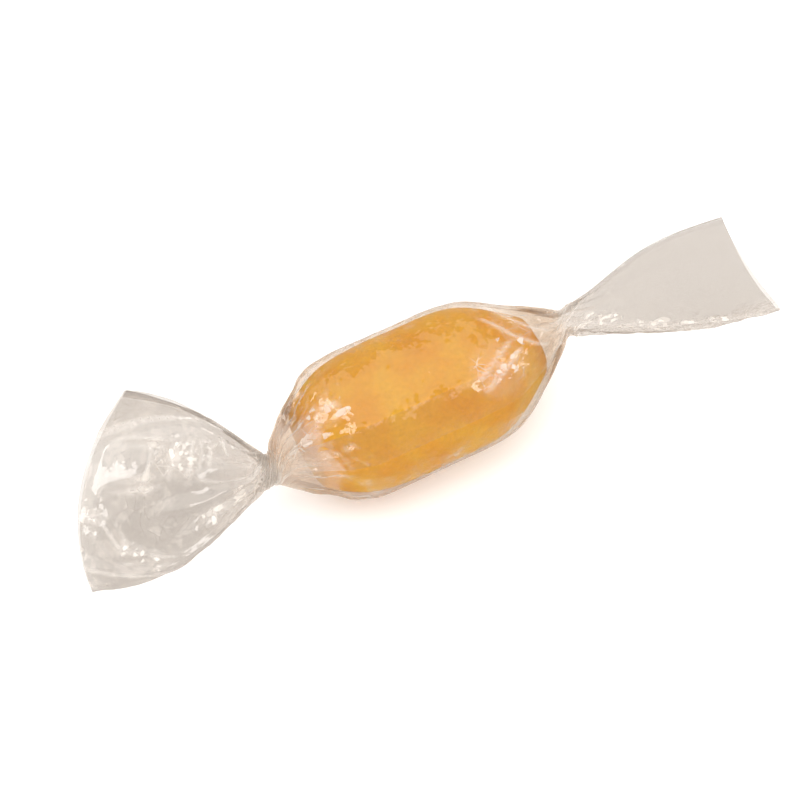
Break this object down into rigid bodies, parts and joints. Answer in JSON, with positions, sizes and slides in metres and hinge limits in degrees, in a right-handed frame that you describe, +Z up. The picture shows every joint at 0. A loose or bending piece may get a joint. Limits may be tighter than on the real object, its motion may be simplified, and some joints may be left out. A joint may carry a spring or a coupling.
{
  "type": "wrapped caramel candy",
  "caption": "Oblong hard caramel in a clear film wrapper, twisted shut at both ends, with one flat fan and one standing fan.",
  "frame": {"origin": "under the middle of the caramel, on the flat spot that the sweet rests on", "axes": "+X along the caramel towards the standing fan, +Y across it, +Z up"},
  "size_m": [0.0771, 0.0212, 0.017],
  "materials": {
    "caramel": "satin, slightly translucent boiled caramel",
    "clear_film": "thin clear wrapping film, glossy, creased"
  },
  "bodies": {
    "root": {"caramel": "caramel", "film_wrapper": "clear_film"}
  },
  "joints": []
}
